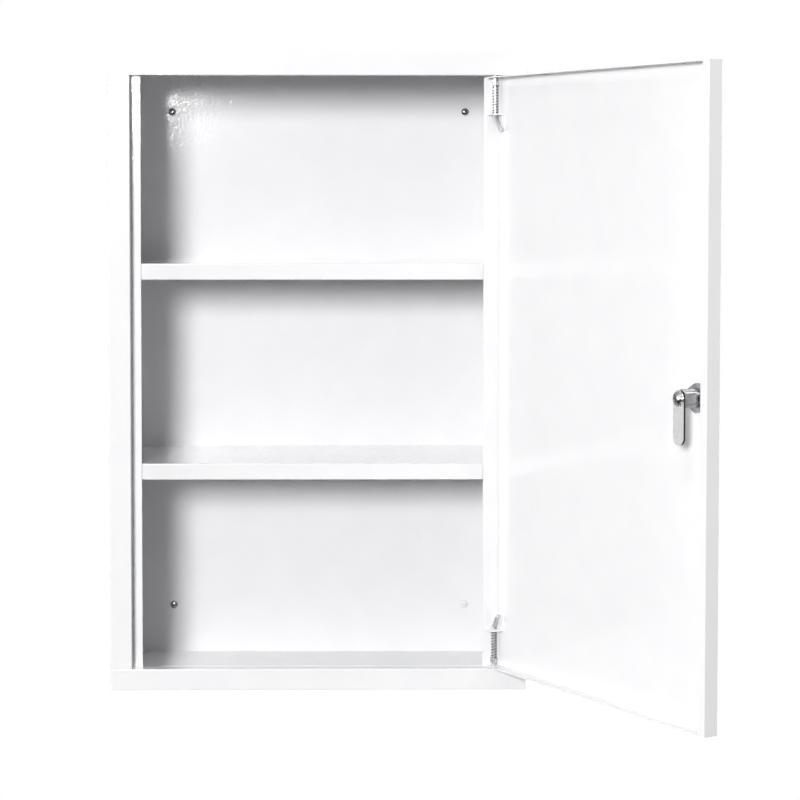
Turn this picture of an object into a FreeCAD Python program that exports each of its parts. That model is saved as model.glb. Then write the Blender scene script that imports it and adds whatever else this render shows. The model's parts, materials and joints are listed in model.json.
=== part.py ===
import FreeCAD, Part
import math
import os
import re
import Sketcher

Vector = FreeCAD.Vector

# Driving sizes: lengths in millimetres, angles in degrees, and plain counts.
SIZES = {
    # Carcass
    "width": 300,
    "height": 460,
    "depth": 140,
    "sheet": 0.8,
    "bend_radius": 0.7,
    "header_height": 17,
    "sill_height": 15,
    "rail_return": 11,
    "latch_stile": 15.5,
    "hinge_stile": 14,
    "latch_stop": 6.9,
    "hinge_stop": 16.4,
    "stop_gap": 1,
    "lug_width": 10,
    "lug_setback": 2,
    "back_flange": 15,
    "floor_flange": 58,
    "wall_hole": 4.8,
    "wall_hole_side_inset": 37,
    "wall_hole_end_inset": 38.5,
    "weld_mark": 5,
    "weld_mark_depth": 0.25,
    "weld_pitch": 35,
    "weld_setback": 26,
    "weld_count": 7,
    # Shelves
    "upper_shelf_height": 308,
    "lower_shelf_height": 163,
    "shelf_lip": 11.5,
    "shelf_flange": 10,
    "shelf_inset": 0.5,
    "shelf_gap": 0.7,
    "lip_gap": 0.25,
    "lip_corner": 0.8,
    # Door
    "door_sheet": 0.8,
    "door_thickness": 10.5,
    "door_gap": 1,
    "door_latch_gap": 2,
    "latch_lip": 6.4,
    "open_angle": 118,
    # Hinge pins
    "hinge_inset": 5,
    "swing_gap": 0.38,
    "pin_diameter": 3,
    "pin_side_gap": 0.2,
    "pin_clearance": 0.25,
    "pin_engagement": 4,
    "pin_bend": 3,
    "pin_end_radius": 0.6,
    "lever_length": 13,
    "lever_angle": 42,
    "lever_gap": 0.2,
    "lower_turn_angle": -11,
    "bracket_sheet": 1.2,
    "bracket_setback": 26.3,
    "bracket_reach": 6.4,
    "bracket_trim": 0.2,
    "bracket_leg": 10,
    "collar_diameter": 5,
    "collar_height": 2.8,
    "collar_fit": 0.05,
    "spring_wire": 0.65,
    "spring_clearance": 0.1,
    "spring_length": 20.4,
    "spring_end": 1.5,
    "spring_turns": 9,
    # Cam lock
    "lock_setback": 20,
    "lock_fit": 0.15,
    "head_diameter": 19,
    "head_height": 2.2,
    "head_bevel": 1.2,
    "barrel_diameter": 11.5,
    "barrel_flats": 10,
    "barrel_length": 15.8,
    "core_bore": 8,
    "core_fit": 0.1,
    "core_recess": 0.3,
    "nut_flats": 16.5,
    "nut_thickness": 3.7,
    "nut_chamfer_angle": 30,
    "tooth_washer": 18.5,
    "washer_thickness": 0.8,
    "tooth_length": 1.6,
    "tooth_slot": 1.2,
    "tooth_count": 20,
    "keyway_width": 1.6,
    "keyway_height": 6.2,
    "keyway_depth": 8.5,
    "wafer_width": 4.2,
    "wafer_height": 6.6,
    "wafer_thickness": 0.7,
    "wafer_pitch": 1.5,
    "wafer_first": 0.4,
    "wafer_wall": 1.1,
    "wafer_count": 4,
    "cam_gap": 0.2,
    "cam_thickness": 1.4,
    "cam_width": 11.2,
    "cam_reach": 29.4,
    "cam_tip": 4.5,
    "cam_taper": 4,
    "cam_tip_radius": 7,
    "tail_width": 5.8,
    "tail_recess": 0.1,
    "cam_washer": 10.2,
    "cam_tooth_length": 1,
    "cam_tooth_slot": 0.8,
    "cam_tooth_count": 14,
    "screw_diameter": 3,
    "screw_length": 7.5,
    "screw_head": 8.2,
    "screw_head_height": 1.7,
    "screw_rim": 0.8,
    "cross_span": 4.2,
    "cross_slot": 0.9,
    "cross_depth": 1.1,
    # Every cut runs this far past the wall that it goes through.
    "overrun": 1,
}

# Places worked out from the driving sizes. The door's are taken from its hinge axis, with the door shut.
PLACES = {
    "half_width": "width / 2",
    "half_height": "height / 2",
    "inner_half": "half_width - sheet",
    "header_edge": "half_height - header_height",
    "sill_edge": "sill_height - half_height",
    "latch_edge": "latch_stile - half_width",
    "hinge_edge": "half_width - hinge_stile",
    "wall_hole_across": "half_width - wall_hole_side_inset",
    "wall_hole_up": "half_height - wall_hole_end_inset",
    "rebate": "door_thickness + stop_gap",
    "stop_front": "rebate - depth",
    "latch_stop_edge": "latch_edge + latch_stop",
    "hinge_stop_edge": "hinge_edge - hinge_stop",
    "lip_front": "stop_front + shelf_inset",
    "shelf_shoulder": "stop_front + sheet + shelf_gap",
    "shelf_left": "latch_stop_edge + lip_gap",
    "shelf_right": "hinge_stop_edge - lip_gap",
    "shelf_relief": "-back_flange - shelf_gap",
    "shelf_rear_half": "inner_half - sheet - shelf_gap",
    "upper_level": "upper_shelf_height - half_height",
    "lower_level": "lower_shelf_height - half_height",
    "hinge_setback": "hinge_inset * tan(open_angle / 2) + swing_gap",
    "axis_across": "hinge_edge - hinge_setback",
    "axis_depth": "hinge_inset - depth",
    "pin_hole": "pin_diameter + 2 * pin_clearance",
    "door_top": "header_edge - door_gap",
    "door_bottom": "sill_edge + door_gap",
    "door_outer": "-hinge_inset",
    "door_inner": "door_thickness - hinge_inset",
    "skin_inside": "door_outer + door_sheet",
    "door_free": "latch_edge + door_latch_gap - axis_across",
    "hinge_face": "pin_diameter / 2 + pin_side_gap",
    "door_hinge": "hinge_face + door_sheet",
    "bracket_front": "door_inner - bracket_trim",
    "bracket_foot": "bracket_setback + bracket_sheet",
    "lever_tangent": "pin_bend * tan(lever_angle / 2)",
    "lever_corner": "bracket_foot + lever_gap + lever_tangent",
    "spring_coil": "pin_diameter + spring_wire + 2 * spring_clearance",
    "collar_inset": "bracket_setback - spring_length - collar_height",
    "lock_across": "door_free + lock_setback",
    "lock_level": "(door_top + door_bottom) / 2",
    "barrel_hole": "barrel_diameter + 2 * lock_fit",
    "barrel_slot": "barrel_flats + 2 * lock_fit",
    "nut_seat": "door_sheet + washer_thickness",
    "nut_face": "nut_seat + nut_thickness",
    "cam_seat": "barrel_length + cam_gap",
    "cam_face": "cam_seat + cam_thickness",
    "tail_end": "cam_face - tail_recess",
    "screw_seat": "cam_face + washer_thickness",
    "screw_top": "screw_seat + screw_head_height",
    "wafer_slot": "wafer_thickness + 2 * core_fit",
}

NAMES = set(SIZES) | set(PLACES)

# An edge is found within the first share of the sheet's thickness.
# A bent rod or wire may miss the second share of its volume.
EDGE_SHARE = 0.001
VOLUME_SHARE = 0.02

document = FreeCAD.newDocument("medicine_cabinet")
sheet = document.addObject("Spreadsheet::Sheet", "Sizes")


def fill_sheet():
    """One row for each size and place, with its name as the alias of its cell."""
    cells = {name: str(number) for name, number in SIZES.items()}
    cells.update({name: "=" + formula for name, formula in PLACES.items()})
    for row, (name, content) in enumerate(cells.items(), 1):
        sheet.set(f"A{row}", name)
        sheet.set(f"B{row}", content)
        sheet.setAlias(f"B{row}", name)
    document.recompute()


def bind(formula):
    """The formula with every name pointing at its cell in the sheet."""
    return re.sub(r"[a-z][a-z_]*", lambda word: "Sizes." + word[0] if word[0] in NAMES else word[0], formula)


def value(formula):
    """The number that a formula gives now."""
    return float(sheet.evalExpression(formula))


# Sketches and features

def new_body(label):
    body = document.addObject("PartDesign::Body", label)
    body.Label = label
    return body


def origin_item(body, role):
    return next(item for item in body.Origin.OriginFeatures if item.Role == role)


def left_turn_arc(start, end, radius):
    """The shorter arc of a radius that turns left from start to end."""
    chord = end - start
    to_centre = Vector(-chord.y, chord.x, 0).normalize()
    centre = start + chord / 2 + to_centre * math.sqrt(radius ** 2 - chord.Length ** 2 / 4)
    angles = [math.atan2(spot.y - centre.y, spot.x - centre.x) for spot in (start, end)]
    if angles[1] < angles[0]:
        angles[1] += 2 * math.pi
    return Part.ArcOfCircle(Part.Circle(centre, Vector(0, 0, 1), radius), *angles)


def constrain(sketch, rules):
    """Add constraints, each with the formula that drives it."""
    for constraint, formula in rules:
        index = sketch.addConstraint(constraint)
        if formula is not None:
            sketch.setExpression(f"Constraints[{index}]", bind(formula))


def add_line(sketch, corners, closed):
    """A chain of corners (across, up). A third entry is the radius of a left-turning arc to the next."""
    first = sketch.GeometryCount
    spots = [Vector(value(corner[0]), value(corner[1]), 0) for corner in corners]
    pieces = len(corners) if closed else len(corners) - 1
    rules = []
    for i in range(pieces):
        start, end = spots[i], spots[(i + 1) % len(spots)]
        if len(corners[i]) == 3:
            radius = value(corners[i][2])
            sketch.addGeometry(left_turn_arc(start, end, radius))
            rules.append((Sketcher.Constraint("Radius", first + i, radius), corners[i][2]))
        else:
            sketch.addGeometry(Part.LineSegment(start, end))
        if closed or i + 1 < pieces:
            following = first + (i + 1) % pieces
            rules.insert(0, (Sketcher.Constraint("Coincident", first + i, 2, following, 1), None))
    for i, corner in enumerate(corners):
        piece, point = (first + i, 1) if i < pieces else (first + i - 1, 2)
        rules.append((Sketcher.Constraint("DistanceX", -1, 1, piece, point, spots[i].x), corner[0]))
        rules.append((Sketcher.Constraint("DistanceY", -1, 1, piece, point, spots[i].y), corner[1]))
    constrain(sketch, rules)


def add_circle(sketch, across, up, diameter):
    centre = Vector(value(across), value(up), 0)
    index = sketch.addGeometry(Part.Circle(centre, Vector(0, 0, 1), value(diameter) / 2))
    constrain(sketch, [
        (Sketcher.Constraint("DistanceX", -1, 1, index, 3, centre.x), across),
        (Sketcher.Constraint("DistanceY", -1, 1, index, 3, centre.y), up),
        (Sketcher.Constraint("Diameter", index, value(diameter)), diameter),
    ])


def draw(body, plane, loops=(), lift="0", circles=(), closed=True):
    """A sketch on one of the body's own planes, lifted along the plane's normal."""
    sketch = body.newObject("Sketcher::SketchObject", "Sketch")
    sketch.AttachmentSupport = [(origin_item(body, plane + "_Plane"), "")]
    sketch.MapMode = "FlatFace"
    sketch.setExpression(".AttachmentOffset.Base.z", bind(lift))
    for loop in loops:
        add_line(sketch, loop, closed)
    for circle in circles:
        add_circle(sketch, *circle)
    return sketch


def rectangle(left, right, low, high):
    return [(left, low), (right, low), (right, high), (left, high)]


def double_d(across, up, diameter, flats):
    """A round outline with two upright flats."""
    flat = f"({flats}) / 2"
    rise = f"sqrt(({diameter})^2 - ({flats})^2) / 2"
    radius = f"({diameter}) / 2"
    return [
        (f"{across} + {flat}", f"{up} - {rise}"),
        (f"{across} + {flat}", f"{up} + {rise}", radius),
        (f"{across} - {flat}", f"{up} + {rise}"),
        (f"{across} - {flat}", f"{up} - {rise}", radius),
    ]


def pad(body, sketch, length):
    feature = body.newObject("PartDesign::Pad", "Pad")
    feature.Profile = sketch
    feature.setExpression("Length", bind(length))
    document.recompute()
    return feature


def plate(body, plane, loop, lift, thickness, circles=()):
    """A flat piece of sheet that grows along the plane's normal."""
    return pad(body, draw(body, plane, [loop], lift, circles), thickness)


def pocket(body, sketch, depth):
    """A cut against the sketch's normal, which has to take material away."""
    before = body.Shape.Volume
    feature = body.newObject("PartDesign::Pocket", "Pocket")
    feature.Profile = sketch
    feature.setExpression("Length", bind(depth))
    document.recompute()
    if not body.Shape.Volume < before:
        raise RuntimeError(f"a pocket in {body.Label} cuts nothing")
    return feature


def repeat(body, kind, feature, settings):
    """A pattern of one feature. Settings hold its axis and the formulas of its sizes."""
    before = body.Shape.Volume
    pattern = body.newObject(kind, "Pattern")
    pattern.Originals = [feature]
    axis_property, role = settings.pop("axis")
    setattr(pattern, axis_property, (origin_item(body, role), [""]))
    for name, formula in settings.items():
        pattern.setExpression(name, bind(formula))
    body.Tip = pattern
    document.recompute()
    if not body.Shape.Volume < before:
        raise RuntimeError(f"a pattern in {body.Label} repeats nothing")


def turn(body, kind, corners):
    """A profile (radius, height) turned about the body's upright axis."""
    sketch = draw(body, "XZ", [corners])
    feature = body.newObject(kind, "Turned")
    feature.Profile = sketch
    feature.ReferenceAxis = (sketch, ["V_Axis"])
    document.recompute()
    return feature


def round_edges(body, names, radius):
    fillet = body.newObject("PartDesign::Fillet", "Fillet")
    fillet.Base = (fillet.BaseFeature, names)
    fillet.setExpression("Radius", bind(radius))
    document.recompute()


def round_bends(body, bends, radius):
    """Round the straight edges that run along an axis through two given coordinates."""
    tolerance = EDGE_SHARE * value("sheet")
    names = []
    for axis, first, second in bends:
        across = [letter for letter in "xyz" if letter != axis]
        targets = (value(first), value(second))
        found = [
            f"Edge{number}"
            for number, edge in enumerate(body.Tip.Shape.Edges, 1)
            if len(edge.Vertexes) == 2 and all(
                abs(getattr(vertex.Point, letter) - target) < tolerance
                for vertex in edge.Vertexes
                for letter, target in zip(across, targets)
            )
        ]
        if not found:
            raise RuntimeError(f"{body.Label} has no edge along {axis} at {first}, {second}")
        names += found
    round_edges(body, names, radius)


def round_rims(body, diameter, radius):
    """Round the circular edges of a given diameter."""
    names = [
        f"Edge{number}"
        for number, edge in enumerate(body.Tip.Shape.Edges, 1)
        if edge.isClosed() and abs(2 * edge.Curve.Radius - value(diameter)) < EDGE_SHARE * value("sheet")
    ]
    round_edges(body, names, radius)


# Carcass

def rail_pan(label, side, rim, rail, return_top):
    """The top or bottom sheet, its rail folded over in front, and the rail's return with a pin hole."""
    body = new_body(label)
    profile = [
        ("0", rim),
        ("-depth", rim),
        ("-depth", rail),
        ("rail_return - depth", rail),
        ("rail_return - depth", f"{rail} + {side} * sheet"),
        ("sheet - depth", f"{rail} + {side} * sheet"),
        ("sheet - depth", f"{rim} - {side} * sheet"),
        ("0", f"{rim} - {side} * sheet"),
    ]
    plate(body, "YZ", profile, "-inner_half", "2 * inner_half")
    round_bends(body, [("x", "-depth", rim), ("x", "-depth", rail)], "bend_radius")
    hole = ("axis_across", "axis_depth", "pin_hole")
    pocket(body, draw(body, "XY", [], f"{return_top} + overrun", [hole]), "sheet + 2 * overrun")
    return body


def side_panel(label, side, stile, stop):
    """A side sheet with its stile, the step back into the rebate, and the door stop."""
    body = new_body(label)
    outer = f"{side} * half_width"
    inner = f"{side} * inner_half"
    edge = f"{side} * (half_width - {stile})"
    step = f"{side} * (half_width - {stile} + sheet)"
    tip = f"{side} * (half_width - {stile} - {stop})"
    profile = [
        (outer, "0"),
        (outer, "-depth"),
        (edge, "-depth"),
        (edge, "stop_front"),
        (tip, "stop_front"),
        (tip, "stop_front + sheet"),
        (step, "stop_front + sheet"),
        (step, "sheet - depth"),
        (inner, "sheet - depth"),
        (inner, "0"),
    ]
    plate(body, "XY", profile, "sill_edge", "header_edge - sill_edge")
    left_face = "-half_width" if side < 0 else "inner_half"
    plate(body, "YZ", rectangle("-depth", "0", "-half_height", "half_height"), left_face, "sheet")
    round_bends(body, [("z", outer, "-depth"), ("z", edge, "-depth")], "bend_radius")
    lug_tip = f"{side} * (inner_half - lug_width)"
    lug_front = "sheet + lug_setback - depth"
    top_lug = rectangle(inner, lug_tip, lug_front, "-back_flange - lug_setback")
    plate(body, "XY", top_lug, "half_height - 2 * sheet", "sheet")
    bottom_lug = rectangle(inner, lug_tip, lug_front, "-floor_flange - lug_setback")
    plate(body, "XY", bottom_lug, "sheet - half_height", "sheet")
    return body


def back_panel():
    """The back sheet with its wall holes, its flanges, and the weld marks on the floor flange."""
    body = new_body("back_panel")
    holes = [
        (f"{across} * wall_hole_across", f"{up} * wall_hole_up", "wall_hole")
        for across in (-1, 1)
        for up in (-1, 1)
    ]
    face = rectangle("-inner_half", "inner_half", "sheet - half_height", "half_height - sheet")
    plate(body, "XZ", face, "0", "sheet", holes)
    top = rectangle("-inner_half", "inner_half", "-back_flange", "0")
    plate(body, "XY", top, "half_height - 2 * sheet", "sheet")
    floor = rectangle("-inner_half", "inner_half", "-floor_flange", "0")
    plate(body, "XY", floor, "sheet - half_height", "sheet")
    for side in (-1, 1):
        flange = rectangle(f"{side} * inner_half", f"{side} * (inner_half - sheet)", "-back_flange", "0")
        plate(body, "XY", flange, "sheet - half_height", "height - 2 * sheet")
    span = "weld_pitch * (weld_count - 1)"
    first_mark = (f"-{span} / 2", "-weld_setback", "weld_mark")
    mark = pocket(body, draw(body, "XY", [], "2 * sheet - half_height", [first_mark]), "weld_mark_depth")
    repeat(body, "PartDesign::LinearPattern", mark, {
        "axis": ("Direction", "X_Axis"),
        "Length": span,
        "Occurrences": "weld_count",
    })
    return body


def shelf(label, level):
    """A shelf between the door stops: a lip in front, flanges at the sides and behind, all folded down."""
    body = new_body(label)
    outline = [
        ("shelf_left", "lip_front"),
        ("shelf_right", "lip_front"),
        ("shelf_right", "shelf_shoulder"),
        ("inner_half", "shelf_shoulder"),
        ("inner_half", "shelf_relief"),
        ("shelf_rear_half", "shelf_relief"),
        ("shelf_rear_half", "-sheet"),
        ("-shelf_rear_half", "-sheet"),
        ("-shelf_rear_half", "shelf_relief"),
        ("-inner_half", "shelf_relief"),
        ("-inner_half", "shelf_shoulder"),
        ("shelf_left", "shelf_shoulder"),
    ]
    plate(body, "XY", outline, f"{level} - sheet", "sheet")
    low = f"{level} - shelf_lip"
    lip = [
        ("shelf_left + lip_corner", low),
        ("shelf_right - lip_corner", low, "lip_corner"),
        ("shelf_right", f"{low} + lip_corner"),
        ("shelf_right", level),
        ("shelf_left", level),
        ("shelf_left", f"{low} + lip_corner", "lip_corner"),
    ]
    plate(body, "XZ", lip, "-lip_front - sheet", "sheet")
    rear = rectangle("-shelf_rear_half", "shelf_rear_half", f"{level} - shelf_flange", level)
    plate(body, "XZ", rear, "sheet", "sheet")
    side = rectangle("shelf_shoulder", "shelf_relief", f"{level} - shelf_flange", level)
    plate(body, "YZ", side, "-inner_half", "sheet")
    plate(body, "YZ", side, "inner_half - sheet", "sheet")
    round_bends(body, [("x", "lip_front", level)], "bend_radius")
    return body


# Door, drawn shut about its hinge axis and then swung open

def door_place():
    axis = Vector(value("axis_across"), value("axis_depth"), 0)
    return FreeCAD.Placement(axis, FreeCAD.Rotation(Vector(0, 0, 1), value("open_angle")))


def door_panel():
    """The door's skin and its four flanges. The hinge flange stops at the brackets, clear of the springs."""
    body = new_body("door_panel")
    skin = rectangle("door_free", "door_hinge", "door_bottom", "door_top")
    hole = double_d("lock_across", "lock_level", "barrel_hole", "barrel_slot")
    pad(body, draw(body, "XZ", [skin, hole], "-skin_inside"), "door_sheet")
    end = rectangle("door_free", "door_hinge", "door_outer", "door_inner")
    for lift in ("door_top - door_sheet", "door_bottom"):
        plate(body, "XY", end, lift, "door_sheet", [("0", "0", "pin_hole")])
    hinge_flange = rectangle("hinge_face", "door_hinge", "door_outer", "door_inner")
    hinge_flange_height = "door_top - door_bottom - 2 * bracket_foot"
    plate(body, "XY", hinge_flange, "door_bottom + bracket_foot", hinge_flange_height)
    latch_flange = [
        ("door_free", "door_outer"),
        ("door_free + door_sheet", "door_outer"),
        ("door_free + door_sheet", "door_inner - door_sheet"),
        ("door_free + latch_lip", "door_inner - door_sheet"),
        ("door_free + latch_lip", "door_inner"),
        ("door_free", "door_inner"),
    ]
    plate(body, "XY", latch_flange, "door_bottom", "door_top - door_bottom")
    round_bends(body, [
        ("z", "door_free", "door_outer"),
        ("z", "door_free", "door_inner"),
        ("z", "door_hinge", "door_outer"),
        ("x", "door_outer", "door_top"),
        ("x", "door_outer", "door_bottom"),
    ], "bend_radius")
    body.Placement = door_place()
    return body


def from_end(end, inset):
    """The height of a point that lies an inset away from the door's top or bottom."""
    return f"door_top - ({inset})" if end == "top" else f"door_bottom + ({inset})"


def lower_of(end, near, far):
    """The lower of two heights, given by their insets from the same end of the door."""
    return from_end(end, far if end == "top" else near)


def hinge_bracket(end):
    """A welded angle: a tab on the hinge flange's end, which holds the pin, and a leg on the door's skin."""
    body = new_body(f"{end}_hinge_bracket")
    tab = rectangle("-bracket_reach", "door_hinge", "skin_inside", "bracket_front")
    lift = lower_of(end, "bracket_setback", "bracket_foot")
    plate(body, "XY", tab, lift, "bracket_sheet", [("0", "0", "pin_hole")])
    leg_end = from_end(end, "bracket_foot + bracket_leg")
    leg = rectangle("-bracket_reach", "hinge_face", leg_end, from_end(end, "bracket_setback"))
    plate(body, "XZ", leg, "-skin_inside - bracket_sheet", "bracket_sheet")
    bend = ("x", "skin_inside", from_end(end, "bracket_setback"))
    round_bends(body, [bend], "bend_radius")
    body.Placement = door_place()
    return body


def hinge_pin(end, turn_angle):
    """A rod that enters the rail, with its inner end bent aside as a lever."""
    body = new_body(f"{end}_hinge_pin")
    corner = from_end(end, "lever_corner")
    side = 1 if end == "top" else -1
    along = [
        ("0", "header_edge + pin_engagement" if end == "top" else "sill_edge - pin_engagement"),
        ("0", f"{corner} + {side} * lever_tangent"),
        ("-lever_tangent * sin(lever_angle)", f"{corner} - {side} * lever_tangent * cos(lever_angle)"),
        ("-lever_length * sin(lever_angle)", f"{corner} - {side} * lever_length * cos(lever_angle)"),
    ]
    tip = along[0][1]
    # The bend is an arc, and it turns left when the rod is followed from the lower end.
    if end == "top":
        along.reverse()
    along[1] += ("pin_bend",)
    path = draw(body, "XZ", [along], closed=False)
    ring = draw(body, "XY", [], tip, [("0", "0", "pin_diameter")])
    document.recompute()
    rod = body.newObject("PartDesign::AdditivePipe", "Rod")
    rod.Profile = ring
    rod.Spine = (path, ["Edge1", "Edge2", "Edge3"])
    document.recompute()
    length = sum(edge.Length for edge in path.Shape.Edges)
    section = math.pi * value("pin_diameter") ** 2 / 4
    if abs(body.Shape.Volume / (section * length) - 1) > VOLUME_SHARE:
        raise RuntimeError(f"{body.Label} is not a whole rod")
    round_rims(body, "pin_diameter", "pin_end_radius")
    turned = FreeCAD.Placement(Vector(), FreeCAD.Rotation(Vector(0, 0, 1), value(turn_angle)))
    body.Placement = door_place().multiply(turned)
    return body


def pin_collar(end):
    """A ring fixed on the pin, which the spring pushes."""
    body = new_body(f"{end}_pin_collar")
    rims = [("0", "0", "collar_diameter"), ("0", "0", "pin_diameter + 2 * collar_fit")]
    lift = lower_of(end, "collar_inset", "collar_inset + collar_height")
    pad(body, draw(body, "XY", [], lift, rims), "collar_height")
    body.Placement = door_place()
    return body


def corner_arc(start, corner, end):
    """The arc that touches both legs of a corner of two equal legs."""
    middle = (start + end) / 2
    half = (end - start).Length / 2
    height = corner - middle
    sagitta = half * math.tan(math.atan2(height.Length, half) / 2)
    return Part.Arc(start, middle + height.normalize() * sagitta, end).toShape()


def biarc(start, start_way, end, end_way):
    """Two arcs that leave start along one direction and reach end along the other."""
    chord = end - start
    turning = 2 * (1 - start_way.dot(end_way))
    reach = chord.dot(start_way + end_way)
    leg = (math.sqrt(reach ** 2 + turning * chord.dot(chord)) - reach) / turning
    first = start + start_way * leg
    second = end - end_way * leg
    joint = (first + second) / 2
    return [corner_arc(start, first, joint), corner_arc(joint, second, end)]


def least_gap(path, wire, skip):
    """The least gap between parts of a wire that lie more than a skip apart along it."""
    spots = path.discretize(Distance=wire)
    apart = math.ceil(skip / wire)
    return min(
        (one - other).Length for i, one in enumerate(spots) for other in spots[i + apart:]
    ) - wire


def hinge_spring(end):
    """A compression spring between the bracket and the collar, wound as one wire in quarter turns."""
    wire = value("spring_wire")
    radius = value("spring_coil / 2")
    foot = value(lower_of(end, "bracket_setback - spring_length", "bracket_setback"))
    length = value("spring_length")
    rise = length - 2 * value("spring_end")
    quarters = 4 * round(value("spring_turns"))
    quarter = math.pi / 2

    def helix(step):
        angle = step * quarter
        spot = Vector(radius * math.cos(angle), radius * math.sin(angle),
                      foot + value("spring_end") + rise * step / quarters)
        way = Vector(-radius * math.sin(angle), radius * math.cos(angle), rise / quarters / quarter)
        return spot, way.normalize()

    # Each end stands square on its seat and bends into the winding over an eighth of a turn.
    upward = Vector(0, 0, 1)
    lead = -quarter / 2
    foot_spot = Vector(radius * math.cos(lead), radius * math.sin(lead), foot)
    top_spot = Vector(radius * math.cos(lead), -radius * math.sin(lead), foot + length)
    edges = [Part.LineSegment(foot_spot, foot_spot + upward * wire).toShape()]
    edges += biarc(foot_spot + upward * wire, upward, *helix(0))
    for step in range(quarters):
        edges += biarc(*helix(step), *helix(step + 1))
    edges += biarc(*helix(quarters), top_spot - upward * wire, upward)
    edges.append(Part.LineSegment(top_spot - upward * wire, top_spot).toShape())
    path = Part.Wire(edges)
    shell = Part.BRepOffsetAPI.MakePipeShell(path)
    shell.add(Part.Wire(Part.Circle(foot_spot, upward, wire / 2).toShape()))
    shell.build()
    shell.makeSolid()
    solid = shell.shape()
    label = f"{end}_hinge_spring"
    gap = least_gap(path, wire, math.pi * radius)
    tightest = min(edge.Curve.Radius for edge in edges[1:-1])
    print(f"{label}: gap between turns {gap:.2f} mm, tightest bend {tightest:.2f} mm")
    if abs(solid.Volume / (math.pi * wire ** 2 / 4 * path.Length) - 1) > VOLUME_SHARE:
        raise RuntimeError(f"{label} is not a whole wire")
    feature = document.addObject("Part::Feature", label)
    feature.Label = label
    feature.Shape = solid
    feature.Placement = door_place()
    return feature


# Cam lock, drawn along its own axis from the door's outer face inward

def lock_place():
    centre = Vector(value("lock_across"), value("door_outer"), value("lock_level"))
    inward = FreeCAD.Placement(centre, FreeCAD.Rotation(Vector(0, 0, 1), Vector(0, 1, 0)))
    return door_place().multiply(inward)


def lock_housing():
    """The head outside the door and the barrel with two flats through it, bored for the core."""
    body = new_body("lock_housing")
    turn(body, "PartDesign::Revolution", [
        ("core_bore / 2", "-head_height"),
        ("head_diameter / 2 - head_bevel", "-head_height"),
        ("head_diameter / 2", "head_bevel - head_height"),
        ("head_diameter / 2", "0"),
        ("core_bore / 2", "0"),
    ])
    barrel = double_d("0", "0", "barrel_diameter", "barrel_flats")
    plate(body, "XY", barrel, "0", "barrel_length", [("0", "0", "core_bore")])
    return body


def tooth_washer(label, lift, outer, inner, length, slot, count):
    """A flat ring with teeth cut round its rim."""
    body = new_body(label)
    ring = draw(body, "XY", [], lift, [("0", "0", outer), ("0", "0", inner)])
    pad(body, ring, "washer_thickness")
    gap = rectangle(f"{outer} / 2 - {length}", f"{outer} / 2 + overrun", f"-{slot} / 2", f"{slot} / 2")
    top = f"{lift} + washer_thickness + overrun"
    cut = pocket(body, draw(body, "XY", [gap], top), "washer_thickness + 2 * overrun")
    repeat(body, "PartDesign::PolarPattern", cut, {"axis": ("Axis", "Z_Axis"), "Occurrences": count})
    return body


def lock_nut():
    """A hexagon nut with the corners of its outer face turned off."""
    body = new_body("lock_nut")
    corner = "nut_flats / sqrt(3)"
    hexagon = [(f"{corner} * cos({angle})", f"{corner} * sin({angle})") for angle in range(30, 390, 60)]
    plate(body, "XY", hexagon, "nut_seat", "nut_thickness", [("0", "0", "barrel_hole")])
    rim = f"{corner} + overrun"
    turn(body, "PartDesign::Groove", [
        ("nut_flats / 2", "nut_face"),
        (rim, f"nut_face - ({rim} - nut_flats / 2) * tan(nut_chamfer_angle)"),
        (rim, "nut_face"),
    ])
    return body


def lock_plug():
    """The turning core: keyway, slots for the wafers, a square tail for the cam, and the screw's bore."""
    body = new_body("lock_plug")
    front = "core_recess - head_height"
    core = draw(body, "XY", [], front, [("0", "0", "core_bore - 2 * core_fit")])
    pad(body, core, f"barrel_length - ({front})")
    half_tail = "tail_width / 2"
    tail = rectangle(f"-{half_tail}", half_tail, f"-{half_tail}", half_tail)
    plate(body, "XY", tail, "barrel_length", "tail_end - barrel_length")
    bore = draw(body, "XY", [], "tail_end", [("0", "0", "screw_diameter + 2 * core_fit")])
    pocket(body, bore, "screw_length")
    key = rectangle("-keyway_width / 2", "keyway_width / 2", "-keyway_height / 2", "keyway_height / 2")
    pocket(body, draw(body, "XY", [key], f"{front} + keyway_depth"), "keyway_depth")
    slot_half = "wafer_width / 2 + core_fit"
    slot = rectangle(f"-({slot_half})", slot_half, "wafer_first", "wafer_first + wafer_slot")
    cut = pocket(body, draw(body, "XZ", [slot], "core_bore / 2"), "core_bore")
    repeat(body, "PartDesign::LinearPattern", cut, {
        "axis": ("Direction", "Z_Axis"),
        "Length": "wafer_pitch * (wafer_count - 1)",
        "Occurrences": "wafer_count",
    })
    return body


def lock_wafers():
    """The tumblers: thin frames across the core, which a key passes through."""
    frames = []
    for number in range(round(value("wafer_count"))):
        boxes = []
        for name, wall in (("Wafer", "0"), ("Window", "wafer_wall")):
            box = document.addObject("Part::Box", name)
            box.setExpression("Length", bind(f"wafer_width - 2 * {wall}"))
            box.setExpression("Width", bind(f"wafer_height - 2 * {wall}"))
            box.setExpression("Height", bind("wafer_thickness"))
            box.setExpression(".Placement.Base.x", bind(f"{wall} - wafer_width / 2"))
            box.setExpression(".Placement.Base.y", bind(f"{wall} - wafer_height / 2"))
            box.setExpression(".Placement.Base.z", bind(f"wafer_first + core_fit + {number} * wafer_pitch"))
            boxes.append(box)
        frame = document.addObject("Part::Cut", "WaferFrame")
        frame.Base, frame.Tool = boxes
        frames.append(frame)
    group = document.addObject("Part::Compound", "lock_wafers")
    group.Label = "lock_wafers"
    group.Links = frames
    return group


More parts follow.
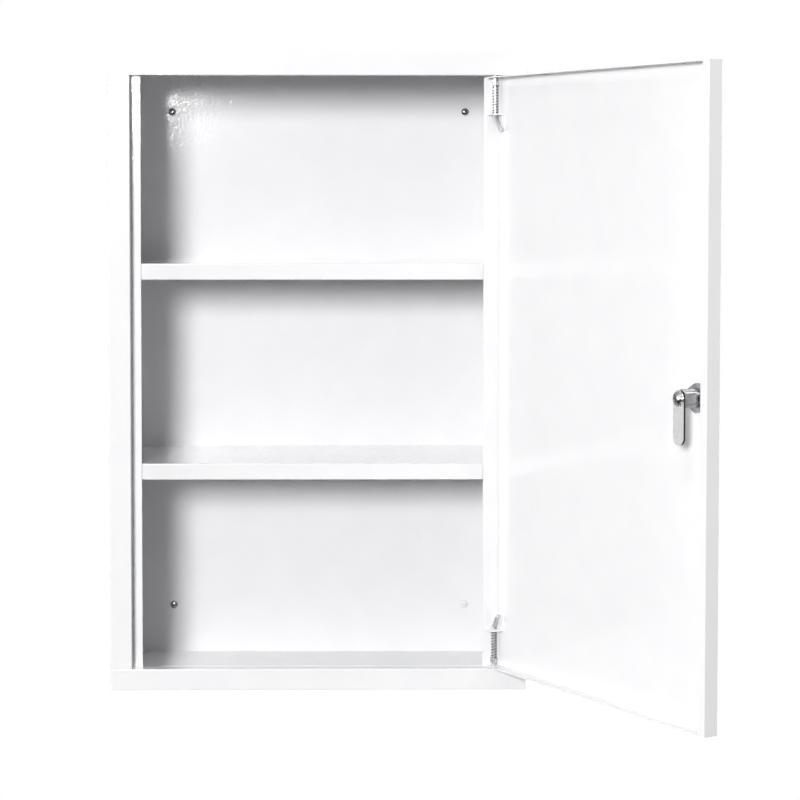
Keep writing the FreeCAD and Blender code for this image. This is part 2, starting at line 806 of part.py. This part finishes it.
def lock_cam():
    """The arm that turns behind the door stop: round at the core, tapered at the tip."""
    body = new_body("lock_cam")
    half = "cam_width / 2"
    taper = "cam_reach - cam_taper"
    outline = [
        (half, "0"),
        (half, taper, "cam_tip_radius"),
        ("cam_tip / 2", "cam_reach"),
        ("-cam_tip / 2", "cam_reach", "cam_tip_radius"),
        (f"-{half}", taper),
        (f"-{half}", "0", half),
        ("0", f"-{half}", half),
    ]
    half_hole = "tail_width / 2 + core_fit"
    hole = rectangle(f"-({half_hole})", half_hole, f"-({half_hole})", half_hole)
    pad(body, draw(body, "XY", [outline, hole], "cam_seat"), "cam_thickness")
    return body


def cam_screw():
    """A round-headed screw with a cross recess, which holds the cam on the core."""
    body = new_body("cam_screw")
    crown = "(screw_head_height - screw_rim)"
    turn(body, "PartDesign::Revolution", [
        ("0", "tail_end - screw_length + overrun"),
        ("screw_diameter / 2", "tail_end - screw_length + overrun"),
        ("screw_diameter / 2", "screw_seat"),
        ("screw_head / 2", "screw_seat"),
        ("screw_head / 2", "screw_seat + screw_rim", f"(screw_head^2 / 4 + {crown}^2) / (2 * {crown})"),
        ("0", "screw_top"),
    ])
    arm, slot = "cross_span / 2", "cross_slot / 2"
    cross = [
        (arm, f"-{slot}"), (arm, slot), (slot, slot), (slot, arm),
        (f"-{slot}", arm), (f"-{slot}", slot), (f"-{arm}", slot), (f"-{arm}", f"-{slot}"),
        (f"-{slot}", f"-{slot}"), (f"-{slot}", f"-{arm}"), (slot, f"-{arm}"), (slot, f"-{slot}"),
    ]
    pocket(body, draw(body, "XY", [cross], "screw_top"), "cross_depth")
    return body


def build():
    """All pieces of the cabinet."""
    carcass = [
        rail_pan("top_pan", 1, "half_height", "header_edge", "header_edge + sheet"),
        rail_pan("bottom_pan", -1, "-half_height", "sill_edge", "sill_edge"),
        side_panel("left_side_panel", -1, "latch_stile", "latch_stop"),
        side_panel("right_side_panel", 1, "hinge_stile", "hinge_stop"),
        back_panel(),
        shelf("upper_shelf", "upper_level"),
        shelf("lower_shelf", "lower_level"),
    ]
    door = [door_panel()]
    for end, turn_angle in (("top", "0"), ("bottom", "lower_turn_angle")):
        door += [hinge_bracket(end), hinge_pin(end, turn_angle), pin_collar(end), hinge_spring(end)]
    lock = [
        lock_housing(),
        tooth_washer("lock_washer", "door_sheet", "tooth_washer", "barrel_hole",
                     "tooth_length", "tooth_slot", "tooth_count"),
        lock_nut(),
        lock_plug(),
        lock_wafers(),
        lock_cam(),
        tooth_washer("cam_washer", "cam_face", "cam_washer", "screw_diameter + 2 * lock_fit",
                     "cam_tooth_length", "cam_tooth_slot", "cam_tooth_count"),
        cam_screw(),
    ]
    for piece in lock:
        piece.Placement = lock_place()
    document.recompute()
    return carcass + door + lock


fill_sheet()
pieces = build()
for item in document.Objects:
    if "Invalid" in item.State or "Error" in item.State:
        raise RuntimeError(f"{item.Name} did not build: {item.State}")
for piece in pieces:
    if piece.Shape.isNull() or not piece.Shape.isValid():
        raise RuntimeError(f"{piece.Label} has no valid shape")
os.makedirs("parts", exist_ok=True)
for piece in pieces:
    piece.Shape.exportStep(f"parts/{piece.Label}.step")
    print(f"{piece.Label}: {len(piece.Shape.Solids)} solids, {piece.Shape.Volume:.1f} mm3")
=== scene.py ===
import json
import math
from collections import namedtuple

import bmesh
import bpy
from mathutils import Matrix, Vector


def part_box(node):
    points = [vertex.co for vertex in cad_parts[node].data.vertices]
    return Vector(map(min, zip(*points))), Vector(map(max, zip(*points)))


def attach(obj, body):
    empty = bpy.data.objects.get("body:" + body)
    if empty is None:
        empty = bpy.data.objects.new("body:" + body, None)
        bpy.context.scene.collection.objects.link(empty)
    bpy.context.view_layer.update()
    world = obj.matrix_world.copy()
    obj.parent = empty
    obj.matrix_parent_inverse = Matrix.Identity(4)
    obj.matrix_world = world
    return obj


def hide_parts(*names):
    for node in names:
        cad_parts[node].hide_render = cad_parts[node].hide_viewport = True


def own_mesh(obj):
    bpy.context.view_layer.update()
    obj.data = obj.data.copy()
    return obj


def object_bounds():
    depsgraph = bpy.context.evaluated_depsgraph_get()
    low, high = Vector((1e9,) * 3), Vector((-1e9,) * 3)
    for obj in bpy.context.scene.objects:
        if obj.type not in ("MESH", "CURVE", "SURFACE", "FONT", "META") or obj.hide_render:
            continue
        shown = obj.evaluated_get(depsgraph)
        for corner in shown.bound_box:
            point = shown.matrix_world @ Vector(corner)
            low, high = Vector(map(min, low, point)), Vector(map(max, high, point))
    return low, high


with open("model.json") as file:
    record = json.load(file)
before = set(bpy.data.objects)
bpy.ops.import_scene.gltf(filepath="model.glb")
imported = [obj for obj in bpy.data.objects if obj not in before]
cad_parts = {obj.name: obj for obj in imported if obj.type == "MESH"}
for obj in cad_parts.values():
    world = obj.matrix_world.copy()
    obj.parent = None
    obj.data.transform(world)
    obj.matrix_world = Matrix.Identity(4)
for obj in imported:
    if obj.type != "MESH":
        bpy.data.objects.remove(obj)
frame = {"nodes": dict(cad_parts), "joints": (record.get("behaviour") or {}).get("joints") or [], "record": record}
cad_low, cad_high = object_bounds()
MM = 0.001
UP = Vector((0, 0, 1))

# Camera, from the photograph's perspective. Angles in degrees, to the right and down
FRAME_PIXELS = 800
FOCAL_PIXELS = 2410
CAMERA_PLACE = Vector((0.0104, -1.8676, 0.1281))
CAMERA_YAW = 0.47
CAMERA_PITCH = 2.99
CAMERA_SHIFT = (0.06, -0.1)
SENSOR_WIDTH = 36

# Lamps, in metres and watts
Lamp = namedtuple("Lamp", "name place size power")
LAMPS = (
    Lamp("key", place=(-0.57, -2.75, 0.49), size=0.6, power=68),
    Lamp("side", place=(-2.2, -0.55, 0.15), size=1, power=18.5),
    Lamp("edge", place=(2.0, -0.45, 0.0), size=0.9, power=10.3),
    Lamp("top", place=(-0.4, -1.75, 1.9), size=0.8, power=10),
    Lamp("ceiling", place=(0, 0.35, 2.3), size=1.6, power=30),
    Lamp("back", place=(0.9, 2.5, 0.7), size=1.2, power=56),
)
FILL_STRENGTH = 0.01

# Floor, and the curtain with its angles in degrees
STAGE_ROUGHNESS = 0.9
FLOOR_COLOR = (0.9, 0.9, 0.9)
FLOOR_LEVEL = -0.6
FLOOR_RADIUS = 0.75
FLOOR_FADE_START = FLOOR_RADIUS / 3
FLOOR_SEGMENTS = 96
FLAG_COLOR = (0.04, 0.04, 0.045)
FLAG_RADIUS = 3.4
FLAG_LOW = -2.5
FLAG_HIGH = 0.65
FLAG_SPAN = 200
FLAG_STEP = 10

# The part of a noise's range that its values mostly fill
NOISE_LOW = 0.3
NOISE_HIGH = 0.7

# Powder coat. Clouds and grains count bumps per metre
COAT_GLOSS = {"powder_coat": 0.6, "shelf_coat": 1}
COAT_DARK = (0.83, 0.83, 0.842)
COAT_LIGHT = (0.85, 0.85, 0.858)
COAT_ROUGHNESS = (0.1, 0.14)
COAT_IOR = 1.5
COAT_SPECULAR = 0.1
COAT_SKIN_ROUGHNESS = 0.08
COLOR_CLOUD = 40
ROUGHNESS_CLOUD = 60
PEEL_GRAIN = 480
PEEL_DETAIL = 1
PEEL_DEPTH = 0.055 * MM
FINE_GRAIN = 1200
FINE_DETAIL = 2
FINE_DEPTH = 0.0006 * MM

# Metals. The grain counts bumps per metre, and a stretch below 1 draws it out upright
CLOUD_DETAIL = 3
GRAIN_DETAIL = 4
GRAINS_PER_CLOUD = 8
Metal = namedtuple("Metal", "dark light roughness grain stretch depth")
METALS = {
    "zinc_plate": Metal(dark=(0.56, 0.57, 0.59), light=(0.7, 0.71, 0.73), roughness=(0.25, 0.4),
                        grain=3000, stretch=0.1, depth=0.004 * MM),
    "spring_steel": Metal(dark=(0.2, 0.2, 0.21), light=(0.34, 0.34, 0.35), roughness=(0.2, 0.32),
                          grain=4000, stretch=1, depth=0.003 * MM),
    "lock_chrome": Metal(dark=(0.5, 0.5, 0.5), light=(0.66, 0.66, 0.65), roughness=(0.1, 0.2),
                         grain=2500, stretch=1, depth=0.002 * MM),
    "barrel_chrome": Metal(dark=(0.8, 0.8, 0.8), light=(0.88, 0.88, 0.87), roughness=(0.14, 0.22),
                           grain=2500, stretch=1, depth=0.001 * MM),
    "cam_steel": Metal(dark=(0.72, 0.72, 0.71), light=(0.78, 0.78, 0.77), roughness=(0.22, 0.3),
                       grain=4500, stretch=0.06, depth=0.0005 * MM),
    "screw_steel": Metal(dark=(0.26, 0.26, 0.27), light=(0.42, 0.42, 0.43), roughness=(0.14, 0.24),
                         grain=3000, stretch=1, depth=0.002 * MM),
    "wafer_brass": Metal(dark=(0.6, 0.45, 0.2), light=(0.75, 0.6, 0.32), roughness=(0.25, 0.4),
                         grain=2500, stretch=1, depth=0.003 * MM),
}
# Colour of the painted dark reflection on the edges of the lock's cam
CAM_EDGE_REFLECTION = (0.06, 0.06, 0.06)

# Nodes whose finish differs from the rest of their slot
OTHER_FINISH = {
    "upper_shelf": "shelf_coat",
    "lower_shelf": "shelf_coat",
    "bottom_pan": "shelf_coat",
    "lock_housing": "barrel_chrome",
    "lock_nut": "screw_steel",
    "cam_washer": "lock_chrome",
    "cam_screw": "screw_steel",
}

# Edges sharper than this stay sharp on a smooth mesh
CREASE = math.radians(35)

# Hinge springs
SPRING_WIRE = 0.65 * MM
SPRING_TURNS = 11
SPRING_STEPS = 28
WIRE_RESOLUTION = 4

# Thread of the lock. Lead and free ends in half turns
THREAD_PITCH = 1 * MM
THREAD_HEIGHT = 0.35 * MM
THREAD_ROOT = 0.05 * MM
THREAD_STEPS = 24
THREAD_FADE = math.radians(10)
THREAD_LEAD = 1.5
THREAD_FREE_ENDS = 2
Barrel = namedtuple("Barrel", "origin axis radius span")

# Wall screws, each with the turn of its recess in degrees
BACK_SHEET = 0.8 * MM
SCREW_HEAD = 5.8 * MM
SCREW_HEAD_HEIGHT = 1.8 * MM
SCREW_RIM_SHARE = 0.3
SCREW_SHANK = 4 * MM
SCREW_CROSS = 3.6 * MM
SCREW_SLOT = 1.1 * MM
SCREW_RECESS = 1.3 * MM
SCREW_FOOT_SHARE = 0.3
SCREW_STEPS = 40
SCREW_DOME_STEPS = 8
SCREW_MERGE = SCREW_SLOT / 100
WallScrew = namedtuple("WallScrew", "corner side level turn finish")
WALL_SCREWS = (
    WallScrew("upper_left", side=-1, level=1, turn=20, finish="screw_steel"),
    WallScrew("upper_right", side=1, level=1, turn=50, finish="screw_steel"),
    WallScrew("lower_left", side=-1, level=-1, turn=5, finish="screw_steel"),
    WallScrew("lower_right", side=1, level=-1, turn=70, finish="powder_coat"),
)


# Materials

def new_material(name, color, roughness, metallic=0.0):
    """A material with its shader, node tree, and texture coordinates of the piece itself."""
    material = bpy.data.materials.new(name)
    material.use_nodes = True
    tree = material.node_tree
    shader = tree.nodes["Principled BSDF"]
    shader.inputs["Base Color"].default_value = (*color, 1)
    shader.inputs["Roughness"].default_value = roughness
    shader.inputs["Metallic"].default_value = metallic
    place = tree.nodes.new("ShaderNodeTexCoord").outputs["Object"]
    return material, tree, shader, place


def noise(tree, place, scale, detail, stretch=(1, 1, 1)):
    """Noise with a number of bumps per metre, stretched along the piece's own axes."""
    mapping = tree.nodes.new("ShaderNodeMapping")
    mapping.inputs["Scale"].default_value = stretch
    tree.links.new(place, mapping.inputs["Vector"])
    texture = tree.nodes.new("ShaderNodeTexNoise")
    texture.inputs["Scale"].default_value = scale
    texture.inputs["Detail"].default_value = detail
    tree.links.new(mapping.outputs["Vector"], texture.inputs["Vector"])
    return texture.outputs["Fac"]


def vary_roughness(tree, shader, source, low, high):
    """A noise's middle range, spread from low to high."""
    ramp = tree.nodes.new("ShaderNodeMapRange")
    ramp.inputs["From Min"].default_value = NOISE_LOW
    ramp.inputs["From Max"].default_value = NOISE_HIGH
    ramp.inputs["To Min"].default_value = low
    ramp.inputs["To Max"].default_value = high
    tree.links.new(source, ramp.inputs["Value"])
    tree.links.new(ramp.outputs["Result"], shader.inputs["Roughness"])


def vary_color(tree, shader, source, first, second):
    """A noise's middle range, from one colour to another."""
    ramp = tree.nodes.new("ShaderNodeValToRGB")
    low, high = ramp.color_ramp.elements
    low.position, low.color = NOISE_LOW, (*first, 1)
    high.position, high.color = NOISE_HIGH, (*second, 1)
    tree.links.new(source, ramp.inputs["Fac"])
    tree.links.new(ramp.outputs["Color"], shader.inputs["Base Color"])


def bump(tree, shader, source, depth):
    """Bumps of a depth, on top of those that the shader has."""
    node = tree.nodes.new("ShaderNodeBump")
    node.inputs["Distance"].default_value = depth
    node.inputs["Strength"].default_value = 1
    tree.links.new(source, node.inputs["Height"])
    last = shader.inputs["Normal"].links
    if last:
        tree.links.new(last[0].from_socket, node.inputs["Normal"])
    tree.links.new(node.outputs["Normal"], shader.inputs["Normal"])


def powder_coat(name, gloss):
    """White powder coat with a glossy skin of orange peel."""
    material, tree, shader, place = new_material(name, COAT_LIGHT, COAT_ROUGHNESS[0])
    shader.inputs["IOR"].default_value = COAT_IOR
    shader.inputs["Specular IOR Level"].default_value = COAT_SPECULAR
    shader.inputs["Coat Weight"].default_value = gloss
    shader.inputs["Coat Roughness"].default_value = COAT_SKIN_ROUGHNESS
    shader.inputs["Coat IOR"].default_value = COAT_IOR
    vary_color(tree, shader, noise(tree, place, COLOR_CLOUD, CLOUD_DETAIL), COAT_DARK, COAT_LIGHT)
    vary_roughness(tree, shader, noise(tree, place, ROUGHNESS_CLOUD, CLOUD_DETAIL), *COAT_ROUGHNESS)
    bump(tree, shader, noise(tree, place, PEEL_GRAIN, PEEL_DETAIL), PEEL_DEPTH)
    bump(tree, shader, noise(tree, place, FINE_GRAIN, FINE_DETAIL), FINE_DEPTH)
    tree.links.new(shader.inputs["Normal"].links[0].from_socket, shader.inputs["Coat Normal"])
    return material


def metal(name, look):
    """Plated metal with a fine grain."""
    material, tree, shader, place = new_material(name, look.light, look.roughness[0], 1)
    streak = noise(tree, place, look.grain, GRAIN_DETAIL, (1, 1, look.stretch))
    cloud = noise(tree, place, look.grain / GRAINS_PER_CLOUD, CLOUD_DETAIL)
    vary_color(tree, shader, cloud, look.dark, look.light)
    vary_roughness(tree, shader, streak, *look.roughness)
    bump(tree, shader, streak, look.depth)
    return material


def paint_edge_reflection(material, axis, color):
    """Painted dark reflection on the cut edges of a stamped plate, all round its faces across an axis: a
    near-black colour that stands in for the dark surroundings those edges reflect.
    """
    tree = material.node_tree
    shader = tree.nodes["Principled BSDF"]
    place = next(node for node in tree.nodes if node.type == "TEX_COORD")
    along = tree.nodes.new("ShaderNodeVectorMath")
    along.operation = "DOT_PRODUCT"
    along.inputs[1].default_value = axis
    tree.links.new(place.outputs["Normal"], along.inputs[0])
    facing = tree.nodes.new("ShaderNodeMath")
    facing.operation = "ABSOLUTE"
    tree.links.new(along.outputs["Value"], facing.inputs[0])
    mix = tree.nodes.new("ShaderNodeMix")
    mix.data_type = "RGBA"
    edge, plate = (socket for socket in mix.inputs if socket.type == "RGBA")
    mixed = next(socket for socket in mix.outputs if socket.type == "RGBA")
    edge.default_value = (*color, 1)
    tree.links.new(facing.outputs["Value"], mix.inputs["Factor"])
    tree.links.new(shader.inputs["Base Color"].links[0].from_socket, plate)
    tree.links.new(mixed, shader.inputs["Base Color"])


MATERIALS = {name: powder_coat(name, gloss) for name, gloss in COAT_GLOSS.items()}
MATERIALS.update((name, metal(name, look)) for name, look in METALS.items())


def dress(piece, slot, finish=None):
    """A slot of the record on a piece, with the slot's own material or another finish."""
    piece.data.materials.clear()
    piece.data.materials.append(MATERIALS[finish or slot])


def joint_place(name):
    """A joint of the record, with the point that it turns about."""
    joint = next(joint for joint in frame["joints"] if joint["name"] == name)
    return joint, Vector(joint.get("pos_m", (0, 0, 0)))


def dress_frame():
    """The record's slot on each solid, and the painted dark reflection on the cam's edges."""
    for row in frame["record"]["subparts"]:
        node = row["node"]
        dress(frame["nodes"][node], row["material_slot"], OTHER_FINISH.get(node))
    lock_turn, _ = joint_place("lock_turn")
    # The cam's edges get a painted dark reflection, a near-black colour in place of the dark surroundings they
    # reflect
    paint_edge_reflection(MATERIALS["cam_steel"], Vector(lock_turn["axis"]), CAM_EDGE_REFLECTION)


# Meshes and objects

def new_object(name, data):
    item = bpy.data.objects.new(name, data)
    bpy.context.scene.collection.objects.link(item)
    return item


def shape_mesh(name, shape):
    """A mesh from an edited shape, which is freed."""
    mesh = bpy.data.meshes.new(name)
    shape.to_mesh(mesh)
    shape.free()
    return mesh


def final_mesh(item):
    """An object's mesh with its modifiers and bevels applied."""
    return bpy.data.meshes.new_from_object(item.evaluated_get(bpy.context.evaluated_depsgraph_get()))


def smooth(mesh):
    mesh.shade_smooth()
    mesh.set_sharp_from_angle(angle=CREASE)


def new_piece(name, mesh, slot, body, finish=None):
    """A piece made here, which moves with a body of the record."""
    piece = new_object(name, mesh)
    dress(piece, slot, finish)
    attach(piece, body)
    return piece


# Hinge springs

def wire_mesh(name, points, diameter):
    """A round wire along a line of points."""
    curve = bpy.data.curves.new(name, "CURVE")
    curve.dimensions = "3D"
    curve.bevel_depth = diameter / 2
    curve.bevel_resolution = WIRE_RESOLUTION
    curve.use_fill_caps = True
    line = curve.splines.new("POLY")
    line.points.add(len(points) - 1)
    for spot, point in zip(line.points, points):
        spot.co = (*point, 1)
    holder = new_object(name, curve)
    mesh = final_mesh(holder)
    bpy.data.objects.remove(holder)
    mesh.shade_smooth()
    return mesh


def hinge_spring(end):
    """A spring with closed end turns, from bracket to collar. The real spring shortens as its pin is drawn back;
    this one keeps its length and moves with the door.
    """
    node = f"{end}_hinge_spring"
    _, axis = joint_place("door_swing")
    low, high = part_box(node)
    radius = (high.x - low.x - SPRING_WIRE) / 2
    first = low.z + SPRING_WIRE / 2
    closed = SPRING_WIRE
    pitch = (high.z - low.z - SPRING_WIRE - 2 * closed) / (SPRING_TURNS - 2)
    points = []
    for step in range(SPRING_TURNS * SPRING_STEPS + 1):
        turns = step / SPRING_STEPS
        at_foot = min(turns, 1)
        at_head = max(turns - SPRING_TURNS + 1, 0)
        rise = closed * (at_foot + at_head) + pitch * (turns - at_foot - at_head)
        angle = 2 * math.pi * turns
        points.append((axis.x + radius * math.cos(angle), axis.y + radius * math.sin(angle), first + rise))
    name = f"{end}_spring_coil"
    piece = new_piece(name, wire_mesh(name, points, SPRING_WIRE), "spring_steel", "door")
    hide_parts(node)
    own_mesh(piece)


# Thread of the lock

def along_lock(node, origin, axis):
    """How far each point of a node lies along the lock's axis, with its place from the axis."""
    for spot in frame["nodes"][node].data.vertices:
        reach = (spot.co - origin).dot(axis)
        yield reach, spot.co - origin - axis * reach


def thread_arc(shape, barrel, first, level, across):
    """One arc of a thread's ridge, which fades out where the barrel's flats cut it."""
    rings = []
    for step in range(THREAD_STEPS + 1):
        angle = barrel.span * (2 * step / THREAD_STEPS - 1)
        climb = THREAD_PITCH * angle / (2 * math.pi)
        out = level * math.cos(angle) + across * math.sin(angle)
        crest = THREAD_HEIGHT * min(1, (barrel.span - abs(angle)) / THREAD_FADE)
        section = ((-THREAD_PITCH / 2, -THREAD_ROOT), (0, crest), (THREAD_PITCH / 2, -THREAD_ROOT))
        ring = []
        for reach, lift in section:
            centre = barrel.origin + barrel.axis * (first + reach + climb)
            ring.append(shape.verts.new(centre + out * (barrel.radius + lift)))
        rings.append(ring)
    for ring, after in zip(rings, rings[1:]):
        for index in range(len(ring)):
            follow = (index + 1) % len(ring)
            shape.faces.new((ring[index], ring[follow], after[follow], after[index]))
    shape.faces.new(rings[0])
    shape.faces.new(rings[-1])


def lock_thread():
    """The thread on the two round sides of the lock's barrel, from the nut to the barrel's end."""
    joint, origin = joint_place("lock_turn")
    axis = Vector(joint["axis"])
    side = axis.cross(UP)
    nut_face = max(reach for reach, _ in along_lock("lock_nut", origin, axis))
    bare = [(reach, out) for reach, out in along_lock("lock_housing", origin, axis) if reach > nut_face]
    end = max(reach for reach, _ in bare)
    radius = max(out.length for _, out in bare)
    span = math.asin(max(out.dot(side) for _, out in bare) / radius)
    barrel = Barrel(origin, axis, radius, span)
    shape = bmesh.new()
    for half in range(int(2 * (end - nut_face) / THREAD_PITCH) - THREAD_FREE_ENDS):
        first = nut_face + THREAD_PITCH * (half + THREAD_LEAD) / 2
        sign = 1 if half % 2 else -1
        thread_arc(shape, barrel, first, UP * sign, side * sign)
    bmesh.ops.recalc_face_normals(shape, faces=shape.faces)
    mesh = shape_mesh("lock_thread", shape)
    smooth(mesh)
    new_piece("lock_thread", mesh, "lock_chrome", "door", "screw_steel")


# Wall screws

def turned(shape, profile):
    """A profile (radius, depth) turned about the Y axis."""
    spots = [shape.verts.new((radius, depth, 0)) for radius, depth in profile]
    edges = [shape.edges.new(pair) for pair in zip(spots, spots[1:])]
    bmesh.ops.spin(shape, geom=spots + edges, cent=(0, 0, 0), axis=(0, 1, 0), angle=2 * math.pi,
                   steps=SCREW_STEPS, use_merge=True)
    bmesh.ops.remove_doubles(shape, verts=shape.verts, dist=SCREW_MERGE)
    bmesh.ops.recalc_face_normals(shape, faces=shape.faces)


def screw_blank():
    """A round-headed screw, its head towards the door and its shank in the back sheet."""
    head, shank = SCREW_HEAD / 2, SCREW_SHANK / 2
    dome = []
    for step in range(SCREW_DOME_STEPS + 1):
        angle = math.pi / 2 * step / SCREW_DOME_STEPS
        rise = SCREW_RIM_SHARE + (1 - SCREW_RIM_SHARE) * math.cos(angle)
        dome.append((head * math.sin(angle), -BACK_SHEET - SCREW_HEAD_HEIGHT * rise))
    foot = [(head, -BACK_SHEET), (shank, -BACK_SHEET), (shank, 0), (0, 0)]
    shape = bmesh.new()
    turned(shape, dome + foot)
    return shape_mesh("screw", shape)


def cross_cutter():
    """The cross recess, narrower at its foot."""
    shape = bmesh.new()
    top = -BACK_SHEET - SCREW_HEAD_HEIGHT
    for turn in (0, math.pi / 2):
        bar = bmesh.ops.create_cube(shape, size=1)["verts"]
        for spot in bar:
            at_foot = spot.co.y > 0
            length = SCREW_CROSS * (SCREW_FOOT_SHARE if at_foot else 1)
            depth = SCREW_RECESS if at_foot else -SCREW_RECESS
            spot.co = (spot.co.x * length, top + depth, spot.co.z * SCREW_SLOT)
        bmesh.ops.rotate(shape, verts=bar, cent=(0, 0, 0), matrix=Matrix.Rotation(turn, 3, "Y"))
    return shape_mesh("cross", shape)


def screw_mesh():
    """The screw with its recess cut."""
    blank = new_object("screw_blank", screw_blank())
    cutter = new_object("screw_cutter", cross_cutter())
    cut = blank.modifiers.new("Recess", "BOOLEAN")
    cut.object = cutter
    cut.operation = "DIFFERENCE"
    cut.solver = "EXACT"
    cut.use_self = True
    mesh = final_mesh(blank)
    for item in (blank, cutter):
        bpy.data.objects.remove(item)
    smooth(mesh)
    return mesh


def wall_screws():
    """A screw in each of the four holes of the back panel."""
    holes = next(mount for mount in frame["record"]["mounts"] if mount["name"] == "wall_holes")
    across = holes["dims"]["spacing_x_mm"] / 2 * MM
    up = holes["dims"]["spacing_y_mm"] / 2 * MM
    for screw in WALL_SCREWS:
        mesh = screw_mesh()
        place = Vector(holes["pos_m"]) + Vector((screw.side * across, 0, screw.level * up))
        turn = Matrix.Rotation(math.radians(screw.turn), 4, "Y")
        mesh.transform(Matrix.Translation(place) @ turn)
        new_piece(f"{screw.corner}_wall_screw", mesh, "zinc_plate", "cabinet", screw.finish)


# Studio

def studio_world():
    """White where it is seen straight or in a reflection, and a weak fill for the rest."""
    world = bpy.data.worlds.new("studio")
    world.use_nodes = True
    tree = world.node_tree
    path = tree.nodes.new("ShaderNodeLightPath")
    seen = path.outputs["Is Camera Ray"]
    for ray in ("Is Glossy Ray", "Is Transmission Ray"):
        either = tree.nodes.new("ShaderNodeMath")
        either.operation = "MAXIMUM"
        tree.links.new(seen, either.inputs[0])
        tree.links.new(path.outputs[ray], either.inputs[1])
        seen = either.outputs["Value"]
    level = tree.nodes.new("ShaderNodeMapRange")
    level.inputs["To Min"].default_value = FILL_STRENGTH
    tree.links.new(seen, level.inputs["Value"])
    background = tree.nodes["Background"]
    background.inputs["Color"].default_value = (1, 1, 1, 1)
    tree.links.new(level.outputs["Result"], background.inputs["Strength"])
    bpy.context.scene.world = world


def studio_floor():
    """A pale round floor below the cabinet that fades out into the white round it."""
    shape = bmesh.new()
    bmesh.ops.create_circle(shape, cap_ends=True, radius=FLOOR_RADIUS, segments=FLOOR_SEGMENTS)
    floor = new_object("floor", shape_mesh("floor", shape))
    floor.location = (0, 0, FLOOR_LEVEL)
    material, tree, shader, place = new_material("floor", FLOOR_COLOR, STAGE_ROUGHNESS)
    distance = tree.nodes.new("ShaderNodeVectorMath")
    distance.operation = "LENGTH"
    tree.links.new(place, distance.inputs[0])
    fade = tree.nodes.new("ShaderNodeMapRange")
    fade.interpolation_type = "SMOOTHSTEP"
    fade.inputs["From Min"].default_value = FLOOR_FADE_START
    fade.inputs["From Max"].default_value = FLOOR_RADIUS
    fade.inputs["To Min"].default_value = 1
    fade.inputs["To Max"].default_value = 0
    tree.links.new(distance.outputs["Value"], fade.inputs["Value"])
    tree.links.new(fade.outputs["Result"], shader.inputs["Alpha"])
    floor.data.materials.append(material)


def studio_flag():
    """A dark curtain round the camera's side of the studio, which only reflections show."""
    shape = bmesh.new()
    rows = []
    for step in range(FLAG_SPAN // FLAG_STEP + 1):
        angle = math.radians(FLAG_STEP * step - FLAG_SPAN / 2)
        across, out = FLAG_RADIUS * math.sin(angle), -FLAG_RADIUS * math.cos(angle)
        rows.append([shape.verts.new((across, out, level)) for level in (FLAG_LOW, FLAG_HIGH)])
    for (low, high), (next_low, next_high) in zip(rows, rows[1:]):
        shape.faces.new((low, high, next_high, next_low))
    flag = new_object("flag", shape_mesh("flag", shape))
    for ray in ("camera", "diffuse", "shadow", "transmission"):
        setattr(flag, f"visible_{ray}", False)
    material, _, _, _ = new_material("flag", FLAG_COLOR, STAGE_ROUGHNESS)
    flag.data.materials.append(material)


def aim(item, direction):
    item.rotation_mode = "QUATERNION"
    item.rotation_quaternion = direction.to_track_quat("-Z", "Y")


def soft_light(name, place, size, power):
    """A round softbox that faces the middle of the cabinet."""
    light = bpy.data.lights.new(name, "AREA")
    light.shape = "DISK"
    light.size = size
    light.energy = power
    lamp = new_object(name, light)
    lamp.location = place
    lamp.visible_camera = False
    aim(lamp, (cad_low + cad_high) / 2 - Vector(place))


def photo_camera():
    """The camera that took the photograph, turned a little so that its shift stays small."""
    data = bpy.data.cameras.new("camera")
    data.sensor_width = SENSOR_WIDTH
    data.lens = FOCAL_PIXELS / FRAME_PIXELS * SENSOR_WIDTH
    data.shift_x, data.shift_y = CAMERA_SHIFT
    camera = new_object("camera", data)
    camera.location = CAMERA_PLACE
    yaw, pitch = math.radians(CAMERA_YAW), math.radians(CAMERA_PITCH)
    level = math.cos(pitch)
    aim(camera, Vector((math.sin(yaw) * level, math.cos(yaw) * level, -math.sin(pitch))))
    bpy.context.scene.camera = camera


dress_frame()
for door_end in ("top", "bottom"):
    hinge_spring(door_end)
lock_thread()
wall_screws()
studio_world()
studio_floor()
studio_flag()
for lamp_row in LAMPS:
    soft_light(*lamp_row)
photo_camera()
bpy.context.scene.view_settings.view_transform = "Standard"
